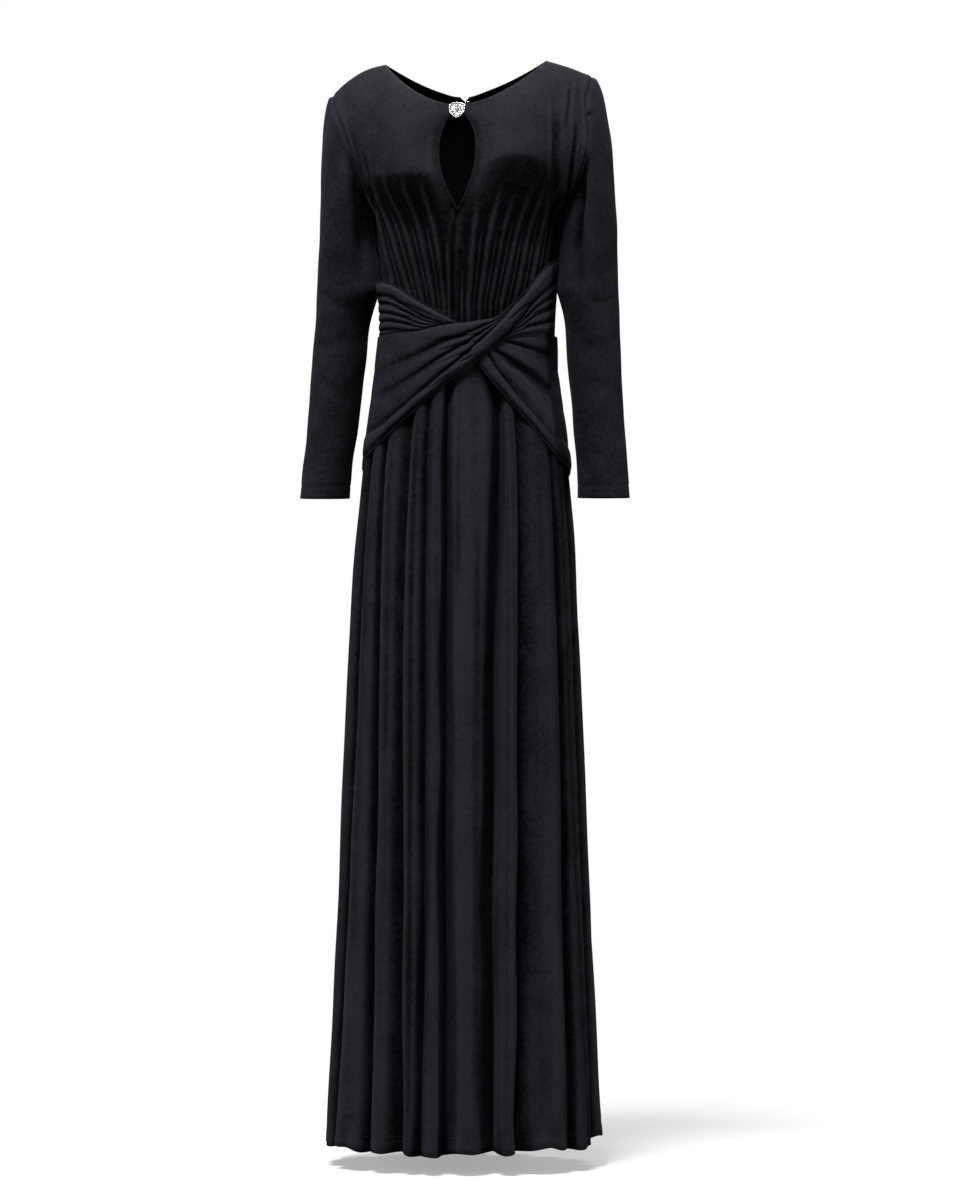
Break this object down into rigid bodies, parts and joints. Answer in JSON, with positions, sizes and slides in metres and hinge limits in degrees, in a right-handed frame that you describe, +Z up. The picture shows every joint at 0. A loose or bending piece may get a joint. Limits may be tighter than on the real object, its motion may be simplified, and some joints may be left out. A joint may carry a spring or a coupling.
{
  "type": "maxi dress",
  "caption": "Long-sleeved floor-length velvet dress with a keyhole and brooch at the neck, a gathered bodice, crossed waist wraps and a deep-folded skirt.",
  "frame": {"origin": "midway between the tops of the two shoulder seams, where the shoulders carry the dress", "axes": "+Z up from the hem to the shoulders, -Y to the front of the dress, +X to the wearer's left"},
  "size_m": [0.4693, 0.3137, 1.5377],
  "materials": {
    "velvet": "soft near-black stretch velvet with a cool violet-grey sheen at grazing angles",
    "silver_stones": "polished silver setting with clear cut stones",
    "steel": "satin steel"
  },
  "bodies": {
    "root": {"bodice_front_right": "velvet", "bodice_front_left": "velvet", "bodice_back_right": "velvet", "bodice_back_left": "velvet", "sleeve_right": "velvet", "sleeve_left": "velvet", "skirt_front": "velvet", "skirt_back": "velvet", "wrap_over": "velvet", "wrap_under": "velvet", "wrap_back": "velvet", "brooch": "silver_stones", "back_neck_hook": "steel"}
  },
  "joints": []
}
